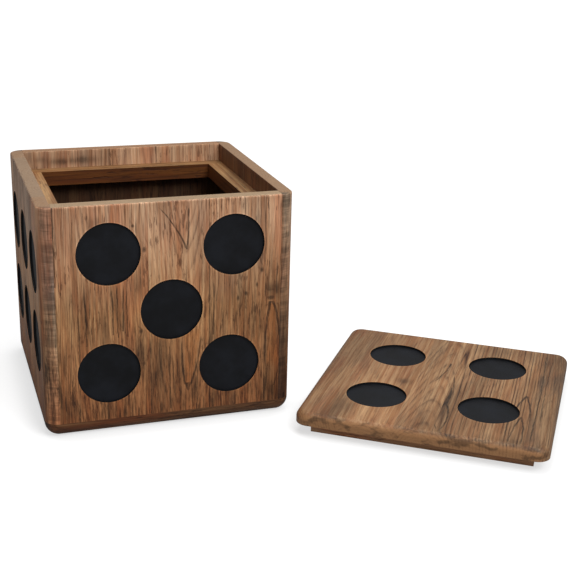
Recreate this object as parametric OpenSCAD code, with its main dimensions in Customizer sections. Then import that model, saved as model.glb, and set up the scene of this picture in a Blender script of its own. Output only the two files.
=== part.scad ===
// Storage box in the shape of a big wooden die, with its lift-off lid lying beside it.
// Box: base board, four edge-glued walls and a ledge frame inside the rim.
// Lid: edge-glued plate with a locating frame under it. Black discs are let in as the pips.
// The origin is the middle of the underside, +Y is to the back, millimetres.

/* [Die] */
// Width and depth of the die
side = 400; // [360:5:440]
// Radius of the upright corners and of the bottom edges
corner_r = 22; // [12:1:22]

/* [Box] */
// Height of the box without its lid
box_h = 374; // [330:1:420]
// Thickness of the four walls
wall_t = 22; // [22:1:28]
// Thickness of the base board
base_t = 24; // [22:1:30]
// Depth of the recess above the ledge frame
ledge_drop = 31; // [26:1:50]
// Height of the ledge battens
ledge_h = 25; // [15:1:35]
// Width of the ledge battens
ledge_w = 27; // [12:1:35]
// Radius along the rim's outer edge
rim_outer_r = 3; // [1:0.5:6]
// Radius along the rim's inner edge
rim_inner_r = 1; // [0.5:0.5:3]

/* [Lid] */
// Thickness of the lid plate
plate_t = 21; // [20:1:30]
// Radius along the top edges of the lid plate
plate_edge_r = 12; // [4:1:16]
// Height of the locating frame under the plate
frame_h = 20; // [8:1:24]
// Width of the locating frame's battens
frame_w = 30; // [20:1:45]
// Clearance between the locating frame and the walls, on each side
frame_gap = 1.5; // [0.5:0.25:3]
// How far right of the box's middle the lid lies
lid_right = 454; // [440:2:560]
// How far in front of the box's middle the lid lies
lid_forward = 240; // [200:2:300]
// How far the lid is turned on the floor, in degrees
lid_turn = -35.35; // [-45:0.05:-20]

/* [Pips] */
// Diameter of the pips
pip_d = 99; // [80:1:104]
// How far the black discs lie below the wood
pip_inset = 4; // [2:0.5:6]
// Thickness of the black discs
pip_t = 3; // [2:0.5:5]

/* [Hidden] */
$fn = 96;
cut = 1; // how far a cutter runs past the face it cuts
glue_gap = 0.2; // around each black disc

wall_h = box_h - base_t;
inner_w = side - 2 * wall_t;
ledge_top = box_h - ledge_drop;
frame_outer = inner_w - 2 * frame_gap;

// Glue lines of each panel, as shares of its width
front_lines = [0, 0.073, 0.222, 0.402, 0.669, 0.927, 1];
back_lines = [0, 0.195, 0.331, 0.573, 0.785, 1];
left_lines = [0, 0.158, 0.332, 0.484, 0.671, 0.836, 1];
right_lines = [0, 0.181, 0.349, 0.522, 0.662, 0.827, 1];
base_lines = [0, 0.19, 0.395, 0.58, 0.805, 1];
plate_lines = [0, 0.175, 0.4, 0.55, 0.9, 1];

// How far the outer pips lie from the middle of a face, as shares of the die's width
WALL_PITCH = 0.244;
LID_PITCH = 0.223;
SIX_COLUMN_PITCH = 0.305;
SIX_ROW_PITCH = 0.164;

// How far the pips of the six lie above the middle of their face
SIX_LIFT = 3;

// How far the pips of the four and the five, set out by hand, stray from even places
four_strays = [[-1, 0], [-1.5, -1.5], [4, 3], [-3.5, 0.5]];
five_strays = [[1.2, -1.2], [-1.5, -0.5], [2, -1.5], [-3.5, -4.5], [3.4, 0]];

// Pip centres from the middle of a face
one = [[0, 0]];
two = side * WALL_PITCH * [[-1, 1], [1, -1]];
corners = [for (x = [-1, 1], y = [-1, 1]) [x, y]];
four = side * LID_PITCH * corners + four_strays;
five = concat(one, side * WALL_PITCH * corners) + five_strays;
six = [for (x = [-1:1], y = [-1, 1]) side * [x * SIX_COLUMN_PITCH, y * SIX_ROW_PITCH] + [0, SIX_LIFT]];

// Turn of each wall about the upright axis, from the front wall
FRONT = 0;
RIGHT = 90;
BACK = 180;
LEFT = -90;

// Stains, from light to dark
TAN = "#b08a62";
HONEY = "#a0764a";
BROWN = "#8a6242";
RUST = "#7a4f33";
UMBER = "#6b4a34";
PANEL_TONES = [HONEY, BROWN, TAN, BROWN, HONEY, UMBER];
PIP_BLACK = "#18191e";

function count(lines) = len(lines) - 1;
function numbered(name, lines) = [for (i = [1:count(lines)]) str(name, i)];
function tone(i) = PANEL_TONES[i % len(PANEL_TONES)];

// ---- shared shapes ----

// Half section of a slab's rim, from plan_r inside its edge: top outer corner rounded by edge_r
module rim_section(t, plan_r, edge_r) {
    if (plan_r > edge_r)
        square([plan_r - edge_r, t]);
    square([plan_r, t - edge_r]);
    translate([plan_r - edge_r, t - edge_r])
        intersection() {
            circle(r = edge_r);
            square(edge_r);
        }
}

// Square slab with round corners and rounded top edges, its underside at z = 0
module eased_slab(w, t, plan_r, edge_r) {
    flat = w / 2 - plan_r;
    translate([-flat, -flat, 0])
        cube([2 * flat, 2 * flat, t]);
    for (turn = [0:90:270])
        rotate(turn) {
            translate([flat, flat, 0])
                rotate([90, 0, 0])
                    linear_extrude(2 * flat)
                        rim_section(t, plan_r, edge_r);
            translate([flat, flat, 0])
                rotate_extrude(angle = 90)
                    rim_section(t, plan_r, edge_r);
        }
}

// Box that keeps plank i of a panel of width w, whose glue lines run along +Y
module plank_zone(w, lines, i, t) {
    x0 = (lines[i - 1] - 0.5) * w;
    x1 = (lines[i] - 0.5) * w;
    translate([x0, -w / 2, 0])
        cube([x1 - x0, w, t]);
}

// Puts a shape drawn on the XY plane onto the outside of a wall, its +Z pointing outwards
module on_wall(turn) {
    rotate(turn)
        translate([0, -side / 2, side / 2])
            rotate([90, 0, 0])
                children();
}

// Sinks for a face's pips, cut from z = 0 downwards
module pip_sinks(centres, d) {
    for (c = centres)
        translate([c[0], c[1], -pip_inset - pip_t])
            cylinder(d = d, h = pip_inset + pip_t + cut);
}

// The black discs that lie in the sinks
module pip_discs(centres, d) {
    color(PIP_BLACK)
        for (c = centres)
            translate([c[0], c[1], -pip_inset - pip_t])
                cylinder(d = d - 2 * glue_gap, h = pip_t);
}

// What a rounding of radius r takes off a corner at the origin, the solid lying towards -X and -Y
module corner_waste(r) {
    translate([-r, -r])
        difference() {
            square(r + cut);
            circle(r = r);
        }
}

// Cross-section of a wall from its outer face: the inner top edge is rounded, the outer one if asked
module wall_section(round_outside) {
    difference() {
        square([wall_t, wall_h]);
        translate([wall_t, wall_h])
            corner_waste(rim_inner_r);
        if (round_outside)
            translate([0, wall_h])
                mirror([1, 0])
                    corner_waste(rim_outer_r);
    }
}

// Stave i of a wall whose panel is w wide and carries the given pips
module wall_stave(turn, w, lines, i, centres, d) {
    x0 = (lines[i - 1] - 0.5) * w;
    x1 = (lines[i] - 0.5) * w;
    at_corner = w == side && (i == 1 || i == count(lines));
    color(tone(i))
        difference() {
            intersection() {
                rotate(turn)
                    translate([x0, -side / 2, base_t])
                        rotate([90, 0, 90])
                            linear_extrude(x1 - x0)
                                wall_section(!at_corner);
                if (at_corner)
                    translate([0, 0, base_t])
                        eased_slab(side, wall_h, corner_r, rim_outer_r);
            }
            on_wall(turn)
                pip_sinks(centres, d);
        }
}

// Batten along one side of a square frame: outer width w, set between its neighbours if inset > 0
module frame_batten(turn, w, batten_w, h, inset) {
    rotate(turn)
        translate([-w / 2 + inset, -w / 2, 0])
            cube([w - 2 * inset, batten_w, h]);
}

// ---- box ----

// Base boards run from left to right
module base_plank(i) {
    color(i % 2 == 0 ? RUST : UMBER)
        intersection() {
            translate([0, 0, base_t])
                mirror([0, 0, 1])
                    eased_slab(side, base_t, corner_r, corner_r);
            rotate(90)
                plank_zone(side, base_lines, i, base_t);
        }
}

module front_stave(i) {
    wall_stave(FRONT, inner_w, front_lines, i, five, pip_d);
}

module back_stave(i) {
    wall_stave(BACK, inner_w, back_lines, i, two, pip_d);
}

module left_stave(i) {
    wall_stave(LEFT, side, left_lines, i, six, pip_d);
}

module right_stave(i) {
    wall_stave(RIGHT, side, right_lines, i, one, pip_d);
}

// Ledge battens: front and back run the full width, left and right fit between them
module ledge_batten(turn, inset) {
    color(HONEY)
        translate([0, 0, ledge_top - ledge_h])
            frame_batten(turn, inner_w, ledge_w, ledge_h, inset);
}

module pips_front() {
    on_wall(FRONT)
        pip_discs(five, pip_d);
}

module pips_back() {
    on_wall(BACK)
        pip_discs(two, pip_d);
}

module pips_left() {
    on_wall(LEFT)
        pip_discs(six, pip_d);
}

module pips_right() {
    on_wall(RIGHT)
        pip_discs(one, pip_d);
}

// ---- lid ----

// Where the lid lies on the floor
module laid_down() {
    translate([lid_right, -lid_forward, 0])
        rotate(lid_turn)
            children();
}

// Planks of the lid plate run from front to back
module lid_plank(i) {
    color(tone(i))
        laid_down()
            difference() {
                translate([0, 0, frame_h])
                    intersection() {
                        eased_slab(side, plate_t, corner_r, plate_edge_r);
                        plank_zone(side, plate_lines, i, plate_t);
                    }
                translate([0, 0, frame_h + plate_t])
                    pip_sinks(four, pip_d);
            }
}

module lid_batten(turn, inset) {
    color(RUST)
        laid_down()
            frame_batten(turn, frame_outer, frame_w, frame_h, inset);
}

module pips_lid() {
    laid_down()
        translate([0, 0, frame_h + plate_t])
            pip_discs(four, pip_d);
}

// ---- assembly ----

for (i = [1:count(base_lines)])
    base_plank(i);
for (i = [1:count(front_lines)])
    front_stave(i);
for (i = [1:count(back_lines)])
    back_stave(i);
for (i = [1:count(left_lines)])
    left_stave(i);
for (i = [1:count(right_lines)])
    right_stave(i);
for (i = [1:count(plate_lines)])
    lid_plank(i);

ledge_batten(FRONT, 0);  // ledge_batten_front
ledge_batten(BACK, 0);  // ledge_batten_back
ledge_batten(LEFT, ledge_w);  // ledge_batten_left
ledge_batten(RIGHT, ledge_w);  // ledge_batten_right
lid_batten(FRONT, 0);  // lid_batten_front
lid_batten(BACK, 0);  // lid_batten_back
lid_batten(LEFT, frame_w);  // lid_batten_left
lid_batten(RIGHT, frame_w);  // lid_batten_right

pips_front();
pips_back();
pips_left();
pips_right();
pips_lid();
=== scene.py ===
import math

import bpy
from mathutils import Matrix, Vector


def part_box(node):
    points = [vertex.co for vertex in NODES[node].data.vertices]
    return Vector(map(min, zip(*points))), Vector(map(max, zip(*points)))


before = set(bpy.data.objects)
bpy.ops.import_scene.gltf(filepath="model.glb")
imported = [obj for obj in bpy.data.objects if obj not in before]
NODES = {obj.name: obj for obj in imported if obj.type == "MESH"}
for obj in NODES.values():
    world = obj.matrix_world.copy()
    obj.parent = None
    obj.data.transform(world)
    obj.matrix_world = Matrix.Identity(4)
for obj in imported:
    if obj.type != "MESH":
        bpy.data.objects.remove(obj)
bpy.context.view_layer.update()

# Everything is in metres, in the CAD frame. Each piece of wood has a board frame of its own:
# u across the board, v along its grain, w out of its good face, with the origin on that face.

MM = 0.001
SIDES = ("front", "back", "left", "right")
FRONT = Vector((0, -1, 0))
BACK = Vector((0, 1, 0))
LEFT = Vector((-1, 0, 0))
RIGHT = Vector((1, 0, 0))
UP = Vector((0, 0, 1))
DOWN = Vector((0, 0, -1))


# ---- places, from the frame ----

def numbered(stem):
    """The nodes stem1, stem2, ... in order."""
    names = []
    while f"{stem}{len(names) + 1}" in NODES:
        names.append(f"{stem}{len(names) + 1}")
    return names


def middle(node):
    low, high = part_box(node)
    return (low + high) / 2


class Board:
    """A board frame. along is its grain, outward is its good face."""

    def __init__(self, origin, along, outward):
        self.origin = origin
        self.across = along.cross(outward)
        self.turn = Matrix((self.across, along, outward)).transposed()

    def place(self, point):
        """(u, v, w) of a point of the frame."""
        return self.turn.transposed() @ (point - self.origin)


HALF = (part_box("base_plank_1")[1].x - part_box("base_plank_1")[0].x) / 2
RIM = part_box("front_stave_1")[1].z
INNER_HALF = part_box("right_stave_1")[0].x
LEDGE_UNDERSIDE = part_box("ledge_batten_back")[0].z
LID_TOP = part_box("lid_plank_1")[1].z
LID_BACK = (middle("lid_batten_back") - middle("lid_batten_front")).normalized()
LID_RIGHT = LID_BACK.cross(UP)
LID_MIDDLE = (middle("lid_batten_back") + middle("lid_batten_front")) / 2
FACE_MIDDLE = HALF * UP
WALLS = {
    "front": Board(FACE_MIDDLE + HALF * FRONT, UP, FRONT),
    "back": Board(FACE_MIDDLE + HALF * BACK, UP, BACK),
    "left": Board(FACE_MIDDLE + HALF * LEFT, UP, LEFT),
    "right": Board(FACE_MIDDLE + HALF * RIGHT, UP, RIGHT),
}
PLATE = Board(Vector((LID_MIDDLE.x, LID_MIDDLE.y, LID_TOP)), LID_BACK, UP)


def islands(mesh):
    """The separate pieces of a mesh, as lists of points."""
    parent = list(range(len(mesh.vertices)))

    def root(i):
        while parent[i] != i:
            i = parent[i]
        return i

    for edge in mesh.edges:
        parent[root(edge.vertices[0])] = root(edge.vertices[1])
    pieces = {}
    for i, vertex in enumerate(mesh.vertices):
        pieces.setdefault(root(i), []).append(vertex.co)
    return pieces.values()


def pip_places(node, board):
    """(u, v, radius) of each disc of a pip node."""
    places = {}
    for points in islands(NODES[node].data):
        spots = [board.place(point) for point in points]
        low_u, high_u = min(s.x for s in spots), max(s.x for s in spots)
        low_v, high_v = min(s.y for s in spots), max(s.y for s in spots)
        u, v = (low_u + high_u) / 2, (low_v + high_v) / 2
        places[round(u, 3), round(v, 3)] = (u, v, (high_u - low_u) / 2)
    return list(places.values())


PIPS = {side: pip_places("pips_" + side, WALLS[side]) for side in SIDES}
PIPS["lid"] = pip_places("pips_lid", PLATE)


# ---- node trees ----

class Tree:
    """Short ways to add shader nodes to one node tree."""

    def __init__(self, tree):
        self.tree = tree

    def add(self, kind, settings=None, **inputs):
        node = self.tree.nodes.new(kind)
        for name, value in (settings or {}).items():
            setattr(node, name, value)
        for name, value in inputs.items():
            self.put(node.inputs[name.replace("_", " ")], value)
        return node

    def put(self, socket, value):
        if isinstance(value, bpy.types.NodeSocket):
            self.tree.links.new(value, socket)
        else:
            socket.default_value = value

    def chain(self, kind, operation, values):
        node = self.add(kind, {"operation": operation} if operation else None)
        for socket, value in zip(node.inputs, values):
            self.put(socket, value)
        return node

    def math(self, operation, *values):
        return self.chain("ShaderNodeMath", operation, values).outputs[0]

    def total(self, *values):
        result = values[0]
        for value in values[1:]:
            result = self.math("ADD", result, value)
        return result

    def product(self, *values):
        result = values[0]
        for value in values[1:]:
            result = self.math("MULTIPLY", result, value)
        return result

    def scaled(self, vector, scale, shift=(0, 0, 0)):
        """vector * scale + shift, part by part."""
        return self.chain("ShaderNodeVectorMath", "MULTIPLY_ADD", (vector, scale, shift)).outputs[0]

    def parts(self, vector):
        return self.add("ShaderNodeSeparateXYZ", Vector=vector).outputs

    def joined(self, x, y, z):
        return self.add("ShaderNodeCombineXYZ", X=x, Y=y, Z=z).outputs[0]

    def noise(self, vector, detail=2.0, roughness=0.5, seed=0.0):
        node = self.add("ShaderNodeTexNoise", {"noise_dimensions": "4D"},
                        Vector=vector, W=seed, Scale=1.0, Detail=detail, Roughness=roughness)
        return node.outputs["Fac"]

    def between(self, value, low, high, to_low=0.0, to_high=1.0, smooth=True):
        """Turns low..high into to_low..to_high, and holds it there outside."""
        kind = {"interpolation_type": "SMOOTHSTEP" if smooth else "LINEAR"}
        node = self.add("ShaderNodeMapRange", kind, Value=value, From_Min=low, From_Max=high,
                        To_Min=to_low, To_Max=to_high)
        return node.outputs[0]

    def ramp(self, value, stops):
        node = self.add("ShaderNodeValToRGB", Fac=value)
        line = node.color_ramp.elements
        while len(line) < len(stops):
            line.new(1.0)
        for element, (place, colour) in zip(line, stops):
            element.position = place
            element.color = colour if isinstance(colour, tuple) else (colour, colour, colour, 1)
        return node.outputs[0]

    def mix(self, factor, a, b, blend="MIX"):
        node = self.add("ShaderNodeMix", {"data_type": "RGBA", "blend_type": blend})
        sockets = {socket.identifier: socket for socket in node.inputs}
        self.put(sockets["Factor_Float"], factor)
        self.put(sockets["A_Color"], a)
        self.put(sockets["B_Color"], b)
        return next(socket for socket in node.outputs if socket.identifier == "Result_Color")

    def use(self, group, **inputs):
        return self.add("ShaderNodeGroup", {"node_tree": group}, **inputs).outputs


def new_group(name, inputs, outputs):
    """A shader node group with the named sockets, as (group, Tree, input sockets, output node)."""
    group = bpy.data.node_groups.new(name, "ShaderNodeTree")
    for direction, sockets in (("INPUT", inputs), ("OUTPUT", outputs)):
        for socket in sockets:
            kind = "NodeSocketVector" if socket == "Board" else "NodeSocketFloat"
            kind = "NodeSocketColor" if socket == "Colour" else kind
            group.interface.new_socket(socket, in_out=direction, socket_type=kind)
    tree = Tree(group)
    return group, tree, tree.add("NodeGroupInput").outputs, tree.add("NodeGroupOutput").inputs


def linear(r, g, b):
    """A linear colour from 0..255 display values."""
    return (*((c / 255) ** 2.2 for c in (r, g, b)), 1)


def share(r, g, b):
    """A colour that keeps these shares of the light."""
    return (r, g, b, 1)


# ---- parts of the wood's look ----

def make_growth_group():
    """Growth rings of a board from a log whose pith runs along v at (Pith u, Pith w)."""
    group, t, given, out = new_group(
        "growth_rings", ["Board", "Pith u", "Pith w", "Taper", "Spacing", "Wander", "Push", "Seed"],
        ["Ring", "Radius"])
    board, seed = given["Board"], given["Seed"]
    drift = t.add("ShaderNodeTexNoise", {"noise_dimensions": "4D"}, Vector=t.scaled(board, (8, 2.6, 8)),
                  W=seed, Scale=1.0, Detail=2.0, Roughness=0.5).outputs["Color"]
    drift_u, _, drift_w = t.parts(t.scaled(drift, (2, 2, 2), (-1, -1, -1)))
    u, v, w = t.parts(board)
    du = t.math("MULTIPLY_ADD", drift_u, given["Wander"], t.math("SUBTRACT", u, given["Pith u"]))
    dw = t.math("MULTIPLY_ADD", drift_w, given["Wander"], t.math("SUBTRACT", w, given["Pith w"]))
    radius = t.math("SQRT", t.total(t.product(du, du), t.product(dw, dw)))
    ripple = t.noise(t.scaled(board, (70, 10, 70)), 2.0, 0.6, seed)
    radius = t.math("MULTIPLY_ADD", ripple, 3.2 * MM, radius)
    radius = t.total(radius, t.product(v, given["Taper"], -1.0), given["Push"])
    turns = t.math("DIVIDE", t.math("ADD", radius, 2.0), given["Spacing"])
    number = t.math("ADD", t.math("FLOOR", turns), seed)
    chance = t.add("ShaderNodeTexWhiteNoise", {"noise_dimensions": "1D"}, W=number).outputs["Value"]
    # Each ring darkens slowly to its late wood and ends sharply
    profile = t.ramp(t.math("FRACT", turns), [(0.0, 0.2), (0.3, 0.0), (0.62, 0.25), (0.85, 1.0), (1.0, 0.2)])
    dashes = t.noise(t.scaled(board, (260, 11, 260)), 3.0, 0.65, seed)
    broken = t.between(dashes, 0.36, 0.6, 0.25, 1.0)
    t.put(out["Ring"], t.product(profile, broken, t.between(chance, 0.0, 1.0, 0.25, 1.0, smooth=False)))
    t.put(out["Radius"], radius)
    return group


def make_knot_group():
    """A knot at (u, v): how far it pushes the rings, and how dark it is."""
    group, t, given, out = new_group("knot", ["Board", "u", "v", "Radius", "Stretch"], ["Push", "Dark"])
    u, v, _ = t.parts(given["Board"])
    du = t.math("SUBTRACT", u, given["u"])
    dv = t.math("DIVIDE", t.math("SUBTRACT", v, given["v"]), given["Stretch"])
    wobble = t.noise(t.scaled(given["Board"], (90, 60, 90)), 3.0)
    near = t.math("SQRT", t.total(t.product(du, du), t.product(dv, dv)))
    near = t.math("DIVIDE", near, given["Radius"])
    near = t.math("MULTIPLY_ADD", wobble, 1.0, t.math("SUBTRACT", near, 0.5))
    bell = t.math("EXPONENT", t.product(near, near, -0.22))
    t.put(out["Push"], t.product(bell, given["Radius"], 1.5))
    rings = t.math("PINGPONG", t.product(near, 2.4), 0.5)
    shade = t.math("MULTIPLY_ADD", rings, 0.6, 0.7)
    t.put(out["Dark"], t.product(t.between(near, 0.3, 1.3, 1.0, 0.0), shade))
    return group


def make_line_group():
    """A grain line from (u0, v0) to (u1, v1), where it fades out.

    It bulges sideways by Bow and has half-widths Start and End.
    """
    group, t, given, out = new_group(
        "grain_line", ["Board", "u0", "v0", "u1", "v1", "Bow", "Start", "End"], ["Dark"])
    u, v, _ = t.parts(given["Board"])
    length = t.math("SUBTRACT", given["v1"], given["v0"])
    along = t.math("DIVIDE", t.math("SUBTRACT", v, given["v0"]), length)
    inside = t.product(t.math("GREATER_THAN", along, 0.0), t.between(along, 0.82, 1.0, 1.0, 0.0))
    wobble = t.noise(t.scaled(given["Board"], (30, 45, 30)), 3.0, 0.6, given["u0"])
    line = t.math("MULTIPLY_ADD", along, t.math("SUBTRACT", given["u1"], given["u0"]), given["u0"])
    bulge = t.product(along, t.math("SUBTRACT", 1.0, along), 4.0)
    line = t.math("MULTIPLY_ADD", bulge, given["Bow"], line)
    line = t.math("MULTIPLY_ADD", t.math("SUBTRACT", wobble, 0.5), 5 * MM, line)
    wide = t.math("MULTIPLY_ADD", along, t.math("SUBTRACT", given["End"], given["Start"]), given["Start"])
    spare = t.math("SUBTRACT", wide, t.math("ABSOLUTE", t.math("SUBTRACT", u, line)))
    faint = t.noise(t.scaled(given["Board"], (200, 60, 200)), 2.0)
    strength = t.between(faint, 0.3, 0.55, 0.5, 1.0)
    t.put(out["Dark"], t.product(inside, t.between(spare, -1.1 * MM, 0.8 * MM), strength))
    return group


def make_blot_group():
    """The share of light a soft dark blot leaves, Wide by High around (u, v).

    With a Strength below 0 it is a pale one.
    """
    group, t, given, out = new_group("blot", ["Board", "u", "v", "Wide", "High", "Strength"], ["Share"])
    u, v, _ = t.parts(given["Board"])
    wobble = t.noise(t.scaled(given["Board"], (80, 22, 80)), 3.0, 0.6, given["u"])
    du = t.math("DIVIDE", t.math("SUBTRACT", u, given["u"]), given["Wide"])
    dv = t.math("DIVIDE", t.math("SUBTRACT", v, given["v"]), given["High"])
    far = t.total(t.product(du, du), t.product(dv, dv), t.math("MULTIPLY_ADD", wobble, 2.4, -1.2))
    bell = t.math("EXPONENT", t.math("MULTIPLY", t.math("MAXIMUM", far, 0.0), -1.0))
    t.put(out["Share"], t.math("SUBTRACT", 1.0, t.product(bell, given["Strength"])))
    return group


def make_grain_group():
    """Streaks, fine lines, fibres, specks and slow changes of a board, stretched along v."""
    group, t, given, out = new_group(
        "grain", ["Board", "Seed"], ["Streak", "Fine", "Fibre", "Speck", "Cloud", "Stain", "Blush"])
    board, seed = given["Board"], given["Seed"]
    bend = t.noise(t.scaled(board, (5, 3, 5)), 2.0, 0.5, seed)
    u, v, w = t.parts(board)
    bent = t.joined(t.math("MULTIPLY_ADD", bend, 12 * MM, u), v, w)
    t.put(out["Streak"], t.noise(t.scaled(bent, (150, 4.0, 150)), 5.0, 0.66, seed))
    t.put(out["Fine"], t.noise(t.scaled(bent, (430, 17, 430)), 4.0, 0.72, seed))
    t.put(out["Fibre"], t.noise(t.scaled(bent, (1500, 40, 1500)), 3.0, 0.6, seed))
    small = t.noise(t.scaled(bent, (330, 42, 330)), 3.0, 0.62, seed)
    where = t.noise(t.scaled(board, (20, 14, 20)), 3.0, 0.55, t.math("ADD", seed, 3.0))
    crowd = t.between(where, 0.4, 0.62, 0.68, 0.52)
    t.put(out["Speck"], t.between(t.math("SUBTRACT", small, crowd), 0.0, 0.06))
    t.put(out["Cloud"], t.noise(t.scaled(board, (12, 4, 12)), 3.0, 0.55, seed))
    t.put(out["Stain"], t.noise(t.scaled(bent, (34, 9, 34)), 4.0, 0.62, t.math("ADD", seed, 7.0)))
    t.put(out["Blush"], t.noise(t.scaled(bent, (42, 7, 42)), 3.0, 0.6, t.math("ADD", seed, 13.0)))
    return group


GROWTH = make_growth_group()
KNOT = make_knot_group()
LINE = make_line_group()
BLOT = make_blot_group()
GRAIN = make_grain_group()

# Stain colours of the wood
PALE = linear(205, 166, 132)
MID = linear(168, 122, 89)
LATE = linear(76, 47, 33)
RED = linear(168, 98, 64)
GREY = linear(124, 106, 94)
AMBER = linear(196, 134, 86)
BURNT = linear(30, 20, 15)
PAINT = linear(20, 21, 24)
RIM_END = linear(146, 123, 96)
SIDE_END = linear(134, 106, 80)
BACK_END = linear(140, 104, 74)
BASE_END = linear(78, 54, 38)
LID_END = linear(188, 140, 104)

# Shares of the light that the darker coats of stain let through; some of them are painted light and shade, as
# marked
# Partly stain, partly painted shade: darker and redder towards the foot, where less light falls
FOOT_STAIN_AND_SHADE = share(0.52, 0.33, 0.195)
HALFWAY_STAIN_AND_SHADE = share(0.86, 0.74, 0.54)
CLEAR = share(1, 1, 1)
# Painted shade inside the box below the ledge
INSIDE_SHADE = share(0.15, 0.12, 0.09)
# Painted shade on the right wall's inner face
RIGHT_INSIDE_SHADE = share(0.34, 0.22, 0.12)
LEDGE_TOP = share(0.72, 0.66, 0.46)
# Painted shade on the ledge's upright faces
LEDGE_UPRIGHT_SHADE = share(0.28, 0.15, 0.05)
LID_COAT = share(0.61, 0.575, 0.47)
# Painted light and shade on the left rounded front corner, by height: paler and bluer low down
LEFT_CORNER_LIGHT_AND_SHADE = (
    (0.12, share(1.9, 1.85, 2.1)),
    (0.42, share(1.5, 1.85, 2.4)),
    (0.64, share(1.07, 1.3, 1.8)),
    (0.85, share(0.87, 0.77, 0.78)),
    (0.96, share(0.7, 0.63, 0.65)),
)
# Painted light and shade on the right rounded front corner, by height: darker low down
RIGHT_CORNER_LIGHT_AND_SHADE = (
    (0.1, share(0.22, 0.24, 0.36)),
    (0.38, share(0.43, 0.47, 0.57)),
    (0.62, share(0.76, 0.78, 0.9)),
    (0.85, share(1.0, 1.1, 1.2)),
    (0.96, share(0.62, 0.7, 0.76)),
)
BASE_COAT = share(0.33, 0.25, 0.17)
BASE_COAT_RIGHT = share(0.22, 0.16, 0.11)


def object_place(t):
    return t.add("ShaderNodeTexCoord").outputs["Object"]


def facing(t, direction):
    """How squarely the surface faces along a direction, either way: 0..1."""
    normal = t.add("ShaderNodeTexCoord").outputs["Normal"]
    dot = t.chain("ShaderNodeVectorMath", "DOT_PRODUCT", (normal, direction)).outputs["Value"]
    return t.math("ABSOLUTE", dot)


def knot_marks(t, place, knots):
    """Ring push and darkness of a board's knots."""
    push, dark = 0.0, 0.0
    for u, v, radius, stretch in knots:
        knot = t.use(KNOT, Board=place, u=u * MM, v=v * MM, Radius=radius * MM, Stretch=stretch)
        push = t.total(push, knot["Push"])
        dark = t.math("MAXIMUM", dark, knot["Dark"])
    return push, dark


def line_marks(t, place, lines):
    """Strength of a board's single grain lines."""
    dark = 0.0
    for u0, v0, u1, v1, bow, start, end in lines:
        line = t.use(LINE, Board=place, u0=u0 * MM, v0=v0 * MM, u1=u1 * MM, v1=v1 * MM, Bow=bow * MM,
                     Start=start * MM, End=end * MM)
        dark = t.math("MAXIMUM", dark, line["Dark"])
    return dark


def blot_shares(t, place, blots):
    """The share of light left by all of a board's blots."""
    left = 1.0
    for u, v, wide, high, strength in blots:
        blot = t.use(BLOT, Board=place, u=u * MM, v=v * MM, Wide=wide * MM, High=high * MM, Strength=strength)
        left = t.product(left, blot["Share"])
    return left


def around_pips(t, place, pips):
    """Masks of the sinks' painted walls and of a painted highlight ring around them, on the eased edge."""
    u, v, w = t.parts(place)
    flat = t.joined(u, v, 0.0)
    beyond = 1.0
    for pip_u, pip_v, radius in pips:
        gap = t.chain("ShaderNodeVectorMath", "DISTANCE", (flat, (pip_u, pip_v, 0))).outputs["Value"]
        beyond = t.math("MINIMUM", beyond, t.math("SUBTRACT", gap, radius))
    near_face = t.math("GREATER_THAN", w, -8 * MM)
    sunk = t.product(t.math("LESS_THAN", beyond, 0.8 * MM), t.math("LESS_THAN", w, -0.3 * MM), near_face)
    return sunk, t.product(t.between(beyond, 0.8 * MM, 2.6 * MM, 1.0, 0.0), near_face)


def face_colour(t, rings, grain, red, grey, contrast, ring, specks):
    """The colour of a board's long faces, before its own marks."""
    colour = t.mix(t.between(grain["Streak"], 0.36, 0.62), PALE, MID)
    colour = t.mix(t.product(t.between(grain["Blush"], 0.44, 0.66), red), colour, RED)
    colour = t.mix(t.product(t.between(grain["Stain"], 0.48, 0.7), grey), colour, GREY)
    colour = t.mix(t.math("MINIMUM", t.product(rings["Ring"], ring), 1.0), colour, LATE)
    colour = t.mix(t.product(t.between(grain["Fine"], 0.54, 0.64), 0.5 * contrast), colour, LATE)
    return t.mix(t.product(grain["Speck"], specks), colour, LATE)


def end_grain(t, place, rings, end, seed):
    """The colour of a board's ends: pores as dots, and faint rings."""
    dots = t.noise(t.scaled(place, (900, 60, 900)), 2.0, 0.6, seed)
    pores = t.mix(1.0, end, t.between(dots, 0.3, 0.7, 0.86, 1.1, smooth=False), "MULTIPLY")
    return t.mix(t.product(rings["Ring"], 0.5), pores, LATE)


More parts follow.
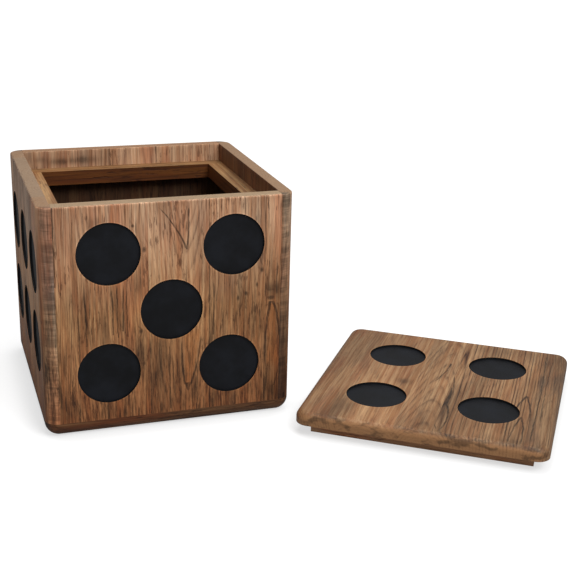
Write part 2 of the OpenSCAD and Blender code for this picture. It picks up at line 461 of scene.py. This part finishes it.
def wood(name, board, seed, pith=(0, -30), taper=0.05, spacing=4.6, wander=7, tone=1.0, red=0.3, grey=0.2,
         contrast=1.0, ring=0.65, specks=0.6, knots=(), lines=(), ambers=(), blots=(), pips=(), end=RIM_END,
         shade=None, roughness=0.5):
    """A board's material. Places and sizes are in mm. shade(t, where, place) gives one more factor."""
    material = bpy.data.materials.new(name)
    material.use_nodes = True
    material.node_tree.nodes.clear()
    t = Tree(material.node_tree)
    where = object_place(t)
    place = t.add("ShaderNodeMapping", {"vector_type": "TEXTURE"}, Vector=where, Location=board.origin,
                  Rotation=board.turn.to_euler()).outputs[0]
    push, knot_dark = knot_marks(t, place, knots)
    rings = t.use(GROWTH, Board=place, Pith_u=pith[0] * MM, Pith_w=pith[1] * MM, Taper=taper,
                  Spacing=spacing * MM, Wander=wander * MM, Push=push, Seed=seed)
    grain = t.use(GRAIN, Board=place, Seed=seed)

    colour = face_colour(t, rings, grain, red, grey, contrast, ring, specks)
    colour = t.mix(t.product(line_marks(t, place, ambers), 0.5), colour, AMBER)
    fibre = t.between(grain["Fibre"], 0.3, 0.7, 0.88, 1.1, smooth=False)
    swing = 0.24 * contrast
    fine = t.between(grain["Fine"], 0.34, 0.62, 1.0 + swing, 1.0 - swing, smooth=False)
    cloud = t.between(grain["Cloud"], 0.32, 0.68, 1.18, 0.78)
    factor = t.product(tone, blot_shares(t, place, blots), fibre, fine, cloud)
    colour = t.mix(1.0, colour, factor, "MULTIPLY")
    line_dark = line_marks(t, place, lines)
    dark = t.math("MAXIMUM", t.product(knot_dark, 0.85), t.product(line_dark, 0.78))
    colour = t.mix(dark, colour, BURNT)
    across = t.between(facing(t, board.turn.col[1]), 0.6, 0.95, 0.0, 0.95)
    colour = t.mix(across, colour, end_grain(t, place, rings, end, seed))
    if shade:
        colour = t.mix(1.0, colour, shade(t, where, place), "MULTIPLY")
    if pips:
        sunk, rim = around_pips(t, place, pips)
        # A painted highlight ring around each pip, where the eased edge catches the light
        colour = t.mix(1.0, colour, t.math("MULTIPLY_ADD", rim, 0.25, 1.0), "MULTIPLY")
        colour = t.mix(sunk, colour, PAINT)

    rough = t.between(grain["Streak"], 0.3, 0.7, roughness - 0.06, roughness + 0.1, smooth=False)
    height = t.total(t.product(rings["Ring"], -0.5), t.product(grain["Fine"], -0.5),
                     t.product(grain["Fibre"], 0.25), t.product(grain["Speck"], -0.5), t.product(dark, -1.5))
    bump = t.add("ShaderNodeBump", Strength=0.5, Distance=0.35 * MM, Height=height).outputs[0]
    shader = t.add("ShaderNodeBsdfPrincipled", Base_Color=colour, Roughness=rough, Normal=bump)
    shader.inputs["Specular IOR Level"].default_value = 0.3
    t.add("ShaderNodeOutputMaterial", Surface=shader.outputs[0])
    return material


def wear_and_shade(t, where, place):
    """Darker and redder towards the foot of the box, partly stain and partly painted shade; paler along the
    rim; dirt streaks and smears low down; a darker line along the outer top edge of the back and side walls;
    and painted shade inside below the ledge.
    """
    x, y, z = t.parts(where)
    height = t.between(z, 0.0, RIM, smooth=False)
    # Partly stain, partly painted shade: darker and redder towards the foot, where less light falls
    foot = t.ramp(height, [(0.0, FOOT_STAIN_AND_SHADE), (0.53, HALFWAY_STAIN_AND_SHADE), (0.9, CLEAR)])
    edge = t.between(z, RIM - 6 * MM, RIM - 2 * MM, 1.0, 1.12)
    out = t.math("MAXIMUM", t.math("ABSOLUTE", x), t.math("ABSOLUTE", y))
    # Painted shade: the inside of the box below the ledge, where little light reaches
    inside = t.product(t.math("LESS_THAN", out, INNER_HALF + 0.6 * MM),
                       t.between(z, LEDGE_UNDERSIDE - 3 * MM, LEDGE_UNDERSIDE + 3 * MM, 1.0, 0.0))
    streaks = t.noise(t.scaled(where, (260, 260, 20)), 5.0, 0.74)
    smears = t.noise(t.scaled(where, (34, 34, 17)), 4.0, 0.62)
    dirt = t.total(t.product(t.between(streaks, 0.49, 0.58), t.between(height, 0.1, 0.9, 0.56, 0.0)),
                   t.product(t.between(smears, 0.5, 0.66), t.between(height, 0.0, 0.8, 0.38, 0.0)))
    # A darker line along the outer top edge of the back and side walls
    behind = t.math("GREATER_THAN", y, 10 * MM - HALF)
    outermost = t.between(out, HALF - 2.6 * MM, HALF - 0.6 * MM)
    topmost = t.between(z, RIM - 5 * MM, RIM - 1 * MM)
    rim_line = t.product(outermost, topmost, behind, 0.4)
    rim_and_dirt = t.math("SUBTRACT", edge, t.math("MINIMUM", t.total(dirt, rim_line), 0.7))
    return t.mix(inside, t.mix(1.0, foot, rim_and_dirt, "MULTIPLY"), INSIDE_SHADE)


def wear_and_sky_light_left(t, where, place):
    """As the front wall, with painted bluish-grey sky light on the left face, which also eases the painted
    shade at the foot.
    """
    _, _, z = t.parts(where)
    height = t.between(z, 0.0, RIM, smooth=False)
    # Painted light: bluish-grey sky light on the left face, which also eases the painted shade at the foot
    painted_sky_light = t.ramp(height, [(0.0, share(1.5, 1.6, 1.6)), (0.9, share(1.0, 1.1, 1.22))])
    return t.mix(1.0, wear_and_shade(t, where, place), painted_sky_light, "MULTIPLY")


def shaded_inside(t, where, place):
    """As the front wall, with painted shade on the right wall's inner face all the way up, where light from
    the right does not reach.
    """
    x, _, z = t.parts(where)
    # Painted shade on the right wall's inner face, above the ledge's underside
    inside = t.product(t.math("LESS_THAN", x, INNER_HALF + 0.6 * MM), t.math("GREATER_THAN", x, 0.0),
                       t.math("GREATER_THAN", z, LEDGE_UNDERSIDE))
    return t.mix(inside, wear_and_shade(t, where, place), RIGHT_INSIDE_SHADE)


def saw_marks_and_corner_shading(t, where, place):
    """As shaded_inside, with the cross marks of the saw on the wall's edge, which faces the front or the
    back, and painted light and shade on the rounded corners: paler and bluer low down on the left corner,
    darker low down on the right one.
    """
    x, y, z = t.parts(where)
    edge = t.between(t.math("ABSOLUTE", y), HALF - 14 * MM, HALF - 2 * MM)
    coarse = t.noise(t.scaled(where, (12, 12, 110)), 3.0, 0.7)
    fine = t.noise(t.scaled(where, (25, 25, 700)), 2.0, 0.6)
    cuts = t.product(t.between(coarse, 0.35, 0.62, 0.55, 1.0), t.between(fine, 0.35, 0.65, 0.8, 1.05))
    height = t.between(z, 0.0, RIM, smooth=False)
    # Painted light and shade on the rounded corners, by height
    left_strip = t.ramp(height, LEFT_CORNER_LIGHT_AND_SHADE)
    right_strip = t.ramp(height, RIGHT_CORNER_LIGHT_AND_SHADE)
    strip = t.mix(t.math("GREATER_THAN", x, 0.0), left_strip, right_strip)
    cuts = t.mix(edge, CLEAR, t.mix(1.0, strip, cuts, "MULTIPLY"))
    return t.mix(1.0, shaded_inside(t, where, place), cuts, "MULTIPLY")


def ledge_shade(t, where, place):
    """Painted shade on the upright faces of the ledge, which stand in the box's shade; the tops keep a tint
    of their own.
    """
    return t.mix(t.between(facing(t, UP), 0.3, 0.9), LEDGE_UPRIGHT_SHADE, LEDGE_TOP)


def base_shade(t, where, place):
    """A heavy coat, heaviest at the right."""
    x, _, _ = t.parts(where)
    return t.mix(t.between(x, -HALF, HALF), BASE_COAT, BASE_COAT_RIGHT)


def lid_shade(t, where, place):
    """Dark patches where the stain soaked into the end grain of the front edge."""
    _, v, _ = t.parts(place)
    patch = t.noise(t.scaled(place, (26, 60, 60)), 3.0, 0.6)
    edge = t.between(v, 13 * MM - HALF, 3 * MM - HALF)
    soaked = t.math("MULTIPLY_ADD", t.product(edge, t.between(patch, 0.5, 0.62)), -0.55, 1.0)
    return t.mix(1.0, LID_COAT, soaked, "MULTIPLY")


def stain(node, board, seed, **settings):
    """Gives a CAD node a wood of its own."""
    slots = NODES[node].data.materials
    slots.clear()
    slots.append(wood(node + "_wood", board, seed, **settings))


def pips_over(node, board, pips):
    """Those pips whose sinks cut the node."""
    across = [board.place(vertex.co).x for vertex in NODES[node].data.vertices]
    reach = 3 * MM
    low, high = min(across) - reach, max(across) + reach
    return [pip for pip in pips if low < pip[0] + pip[2] and pip[0] - pip[2] < high]


# Front staves, left to right. v is the height above the face's middle.
FRONT_STAVES = [
    dict(pith=(-230, -20), spacing=3.4, tone=0.97, red=0.4, contrast=0.9,
         lines=[(-177.2, 50, -177.3, 205, 0, 1.2, 1.2), (-177.6, -140, -177.4, 50, 0, 0.5, 0.8)],
         blots=[(-170, -165, 20, 14, 0.3)]),
    dict(pith=(-60, -90), spacing=4.2, tone=0.96, red=0.45, contrast=1.15,
         lines=[(-133, -50, -135, 40, 1, 0.6, 1.1), (-146, -160, -145, 20, 1, 0.3, 0.6)],
         blots=[(-134, 0, 7, 50, 0.4), (-105, -25, 10, 40, 0.3), (-116, 145, 10, 10, 0.4)]),
    dict(pith=(-10, -50), spacing=4.0, tone=0.97, red=0.5, contrast=1.15,
         knots=[(-41, 100, 3.5, 1.6), (-58, 138, 2.5, 1.2), (-48, -33, 3, 1.5)],
         lines=[(-92, -35, -93, 45, 1, 0.7, 1.3), (-84, -40, -85, 50, 0, 0.6, 0.9),
                (-76, -30, -75, 48, 1, 0.8, 0.6), (-69, -40, -70, 40, 0, 0.5, 0.7)],
         blots=[(-48, -70, 7, 30, 0.5), (-80, 0, 14, 30, 0.25), (-50, 40, 8, 14, 0.3)]),
    dict(pith=(24, -26), taper=0.14, spacing=5.0, wander=3, tone=1.02, red=0.35, contrast=0.9,
         lines=[(24, 97, -20, 167, 5, 1.6, 0.8), (25, 95, 28, 172, 2, 1.6, 0.6),
                (21, -131, 17, -50, -2, 1.6, 0.6), (31, -131, 47, -46, 3, 1.6, 0.7),
                (26, -128, 26, -144, 0, 5.5, 0.4), (-3, -170, -3, -55, 0, 0.6, 0.6),
                (-34, -180, -34, -35, 0, 0.5, 0.6)],
         ambers=[(26, -131, 33, -30, 1, 4, 14)],
         blots=[(-17, -80, 12, 60, 0.4), (14, -110, 5, 50, 0.35), (38, -140, 8, 22, 0.35)]),
    dict(pith=(190, -40), spacing=4.6, tone=0.97, red=0.25, grey=0.5, contrast=1.25,
         knots=[(108, 8, 2.6, 2.0), (121, 15, 2.6, 1.6), (139, 28, 2.2, 2.4), (147, 52, 3, 1.6)],
         lines=[(68, -50, 68, 45, 0, 0.6, 0.8), (61.2, -176, 60.8, 230, 0, 0.5, 0.5)],
         blots=[(112, 10, 22, 32, 0.35), (66, -160, 12, 16, 0.45),
                (128, -40, 16, 22, 0.35), (64, -60, 5, 40, 0.4)]),
    dict(pith=(165, -30), taper=-0.04, spacing=5.5, wander=3, tone=0.95, red=0.5, contrast=1.1,
         knots=[(163, 4, 7, 0.6)],
         lines=[(162, -2, 157, -125, -5, 2.2, 0.6), (166, -2, 178, -90, 5, 2.2, 0.6),
                (170, -150, 178, -80, 4, 0.5, 0.9), (152.4, -176, 152.4, 230, 0, 0.4, 0.6)],
         ambers=[(164, -6, 167, -120, 0, 4, 10)],
         blots=[(166, 18, 16, 12, 0.55), (170, -165, 26, 40, 0.5), (154, -150, 6, 30, 0.3)]),
]

# Lid planks, left to right. v is the distance behind the lid's middle.
LID_PLANKS = [
    dict(pith=(-260, -40), spacing=4.6, tone=0.84, red=0.5, grey=0.3, contrast=0.6, ring=0.4, specks=0.2,
         blots=[(-135, -155, 16, 45, 0.5)]),
    dict(pith=(-90, -70), taper=0.08, spacing=6.0, tone=1.08, red=0.3, contrast=0.5, ring=0.4, specks=0.15,
         blots=[(-125, -150, 16, 45, 0.45), (-57, -22, 12, 12, 0.55), (-85, -165, 30, 26, -0.16)]),
    dict(pith=(2, -34), taper=-0.1, spacing=5.0, wander=4, tone=0.96, red=0.2, contrast=0.6,
         ring=0.8, specks=0.2,
         lines=[(6, 82, -10, -10, 3, 1.3, 0.5)], blots=[(12, 60, 8, 40, 0.2)]),
    dict(pith=(24, -20), taper=-0.02, spacing=5.0, wander=3, tone=0.92, red=0.2, contrast=0.7,
         ring=1.35, specks=0.2,
         lines=[(24, -20, 22, -100, 2, 1.0, 4.2), (23, -86, 27, -190, -9, 1.8, 1.0),
                (25, -86, 29, -190, 8, 1.8, 1.0), (6, 82, 30, -60, 4, 1.3, 0.7),
                (146, -12, 130, -190, -8, 1.6, 0.8),
                (147, -12, 158, -190, 8, 1.6, 0.8), (147, -95, 136, -200, -4, 1.3, 0.7),
                (147, -95, 154, -200, 3, 1.3, 0.7)],
         blots=[(23, -60, 7, 55, 0.4), (90, 170, 60, 20, 0.2), (140, -190, 30, 16, 0.3)]),
    dict(pith=(250, -30), spacing=4.4, tone=0.78, red=0.3, grey=0.6, contrast=0.7, ring=0.9, specks=0.2,
         lines=[(163, 170, 166, -200, 3, 0.8, 0.9), (176, 150, 178, -140, -3, 0.6, 0.7)],
         blots=[(180, 170, 40, 40, 0.3)]),
]

# Tones of the back staves, and the seams and dark smears that show inside over the ledge. u runs to the left.
BACK_TONES = (1.0, 1.05, 1.12, 0.95, 0.8)
BACK_SEAMS = {3: [(-59.4, 120, -59.4, 190, 0, 0.8, 0.8), (25.4, 120, 25.4, 190, 0, 0.8, 0.8)]}
BACK_BLOTS = {4: [(80, 155, 34, 7, 0.6)], 5: [(108, 154, 26, 7, 0.65), (150, 159, 9, 5, 0.5)]}


def stain_front():
    for i, (node, settings) in enumerate(zip(numbered("front_stave_"), FRONT_STAVES)):
        board = WALLS["front"]
        stain(node, board, 1.3 + 1.7 * i, pips=pips_over(node, board, PIPS["front"]), shade=wear_and_shade, **settings)


def wall_shade(side, at_corner):
    if at_corner:
        return saw_marks_and_corner_shading
    return {"left": wear_and_sky_light_left, "right": shaded_inside}.get(side, wear_and_shade)


def stain_other_walls():
    for side, first, tone in (("back", 11.0, 1.0), ("left", 21.0, 1.02), ("right", 31.0, 0.92)):
        board = WALLS[side]
        nodes = numbered(side + "_stave_")
        for i, node in enumerate(nodes):
            centre = board.place(middle(node)).x / MM
            at_corner = side != "back" and i in (0, len(nodes) - 1)
            own = BACK_TONES[i] if side == "back" else 0.97 + 0.08 * math.sin(3.7 * i + first)
            blots = BACK_BLOTS.get(i + 1, ()) if side == "back" else ()
            stain(node, board, first + 1.7 * i,
                  pith=(centre + 30 * math.sin(2.4 * i + first), -35 - 20 * (i % 3)),
                  taper=0.07 * math.cos(2.1 * i + first), spacing=4.2 + 0.6 * (i % 3), tone=tone * own,
                  red=0.25 + 0.15 * (i % 3), grey=0.4, contrast=0.5 if side == "back" else 0.8, blots=blots,
                  lines=BACK_SEAMS.get(i + 1, ()) if side == "back" else (),
                  end=BACK_END if side == "back" else SIDE_END,
                  pips=pips_over(node, board, PIPS[side]), shade=wall_shade(side, at_corner))


def stain_base():
    board = Board(Vector((0, 0, 0)), RIGHT, DOWN)
    for i, node in enumerate(numbered("base_plank_")):
        stain(node, board, 41.0 + 1.9 * i, pith=(board.place(middle(node)).x / MM + 20, -50), taper=0.03,
              spacing=4.2, red=0.7, end=BASE_END, shade=base_shade)


def stain_ledge():
    for i, side in enumerate(SIDES):
        node = "ledge_batten_" + side
        along = RIGHT if side in ("front", "back") else BACK
        stain(node, Board(middle(node), along, UP), 51.0 + 2.3 * i, pith=(50, -20), spacing=3.4, taper=0.01,
              wander=3, tone=0.85, red=0.2, contrast=0.7, shade=ledge_shade)


def stain_lid():
    for i, (node, settings) in enumerate(zip(numbered("lid_plank_"), LID_PLANKS)):
        pips = pips_over(node, PLATE, PIPS["lid"])
        stain(node, PLATE, 61.0 + 1.7 * i, pips=pips, end=LID_END, shade=lid_shade, **settings)
    for i, side in enumerate(SIDES):
        node = "lid_batten_" + side
        along = LID_RIGHT if side in ("front", "back") else LID_BACK
        stain(node, Board(middle(node), along, DOWN), 71.0 + 2.1 * i, pith=(40, -20), spacing=3.4, taper=0.01,
              wander=3, tone=1.3, red=0.9, contrast=0.7, end=LID_END)


# ---- pips ----

def pip_paint():
    """Matt black paint on wood, with the grain just showing through and a little dust."""
    material = bpy.data.materials.new("pip_paint")
    material.use_nodes = True
    material.node_tree.nodes.clear()
    t = Tree(material.node_tree)
    where = object_place(t)
    grain = t.noise(t.scaled(where, (420, 420, 14)), 3.0, 0.6)
    dust = t.noise(t.scaled(where, (24, 24, 24)), 4.0, 0.6)
    colour = t.mix(t.between(dust, 0.35, 0.7), linear(17, 18, 21), linear(27, 29, 34))
    rough = t.between(dust, 0.3, 0.7, 0.52, 0.66, smooth=False)
    bump = t.add("ShaderNodeBump", Strength=0.35, Distance=0.2 * MM, Height=grain).outputs[0]
    shader = t.add("ShaderNodeBsdfPrincipled", Base_Color=colour, Roughness=rough, Normal=bump)
    shader.inputs["Specular IOR Level"].default_value = 0.2
    t.add("ShaderNodeOutputMaterial", Surface=shader.outputs[0])
    return material


def paint_pips():
    paint = pip_paint()
    for side in SIDES + ("lid",):
        slots = NODES["pips_" + side].data.materials
        slots.clear()
        slots.append(paint)


# ---- eased edges ----

def ease_edges(node, width):
    """Rounds a CAD node's sharp edges a little, as sanding does."""
    piece = NODES[node]
    flat = piece.modifiers.new("flat_faces", "DECIMATE")
    flat.decimate_type = "DISSOLVE"
    flat.angle_limit = math.radians(1)
    ease = piece.modifiers.new("eased_edges", "BEVEL")
    ease.width = width
    ease.segments = 2
    ease.limit_method = "ANGLE"
    ease.angle_limit = math.radians(40)


def ease_all():
    for node in NODES:
        if node.startswith("ledge_batten"):
            ease_edges(node, 1.5 * MM)
        elif node.startswith("lid_batten"):
            ease_edges(node, 0.8 * MM)
        elif not node.startswith("pips_"):
            ease_edges(node, 0.35 * MM)


# ---- floor, light and camera ----

CONTACT_REACH = 0.05
FLOOR_SIZE = 60.0
CAMERA_PLACE = Vector((-0.36463, -1.82396, 0.81849))
CAMERA_HEADING = math.radians(-18.892)
CAMERA_DIP = math.radians(19.293)
CAMERA_ROLL = math.radians(1.477)
CAMERA_LENS = 70.874


def make_floor():
    mesh = bpy.data.meshes.new("floor")
    edge = FLOOR_SIZE / 2
    corners = [(-edge, -edge, 0), (edge, -edge, 0), (edge, edge, 0), (-edge, edge, 0)]
    mesh.from_pydata(corners, [], [(0, 1, 2, 3)])
    floor = bpy.data.objects.new("floor", mesh)
    bpy.context.scene.collection.objects.link(floor)
    material = bpy.data.materials.new("floor_white")
    material.use_nodes = True
    material.node_tree.nodes.clear()
    t = Tree(material.node_tree)
    matt = t.add("ShaderNodeBsdfDiffuse", Color=(0.36, 0.36, 0.36, 1))
    # Light of its own, seen by the camera only, takes the lit floor to the white of the background
    seen = t.add("ShaderNodeLightPath").outputs["Is Camera Ray"]
    away = t.chain("ShaderNodeVectorMath", "LENGTH", (object_place(t),)).outputs["Value"]
    # Where the floor meets the wood the ambient occlusion cuts back its glow: a painted contact shadow, in a
    # soft band of its own
    nook = t.add("ShaderNodeAmbientOcclusion", {"samples": 16}, Distance=CONTACT_REACH)
    open_floor = t.between(nook.outputs["AO"], 0.5, 1.0, 0.8, 1.0)
    strength = t.product(seen, t.between(away, 0.8, 4.0, 0.78, 1.0), open_floor)
    glow = t.add("ShaderNodeEmission", Color=(1, 1, 1, 1), Strength=strength)
    both = t.chain("ShaderNodeAddShader", None, (matt.outputs[0], glow.outputs[0]))
    t.add("ShaderNodeOutputMaterial", Surface=both.outputs[0])
    mesh.materials.append(material)


def make_world():
    world = bpy.data.worlds.new("studio")
    world.use_nodes = True
    world.node_tree.nodes.clear()
    t = Tree(world.node_tree)
    seen = t.add("ShaderNodeLightPath").outputs["Is Camera Ray"]
    sky = t.add("ShaderNodeBackground", Color=(1, 1, 1, 1), Strength=t.math("MULTIPLY_ADD", seen, 0.62, 0.42))
    t.add("ShaderNodeOutputWorld", Surface=sky.outputs[0])
    bpy.context.scene.world = world


def softbox(name, place, aim, width, height, power):
    light = bpy.data.lights.new(name, "AREA")
    light.shape = "RECTANGLE"
    light.size = width
    light.size_y = height
    light.energy = power
    lamp = bpy.data.objects.new(name, light)
    bpy.context.scene.collection.objects.link(lamp)
    lamp.location = place
    lamp.rotation_euler = (Vector(aim) - Vector(place)).to_track_quat("-Z", "Y").to_euler()


def make_lights():
    aim = (0.2, -0.1, 0.2)
    softbox("key", (0.9, -2.2, 2.5), aim, 1.8, 1.4, 72)
    softbox("top", (0.2, 0.1, 2.6), aim, 1.6, 1.6, 26)


def make_camera():
    camera = bpy.data.objects.new("camera", bpy.data.cameras.new("camera"))
    bpy.context.scene.collection.objects.link(camera)
    camera.data.lens = CAMERA_LENS
    camera.data.sensor_width = 36
    camera.location = CAMERA_PLACE
    turn = Matrix.Rotation(CAMERA_HEADING, 4, "Z") @ Matrix.Rotation(math.pi / 2 - CAMERA_DIP, 4, "X")
    camera.rotation_euler = (turn @ Matrix.Rotation(CAMERA_ROLL, 4, "Z")).to_euler()
    bpy.context.scene.camera = camera


stain_front()
stain_other_walls()
stain_base()
stain_ledge()
stain_lid()
paint_pips()
ease_all()
make_floor()
make_world()
make_lights()
make_camera()
bpy.context.scene.view_settings.view_transform = "Standard"
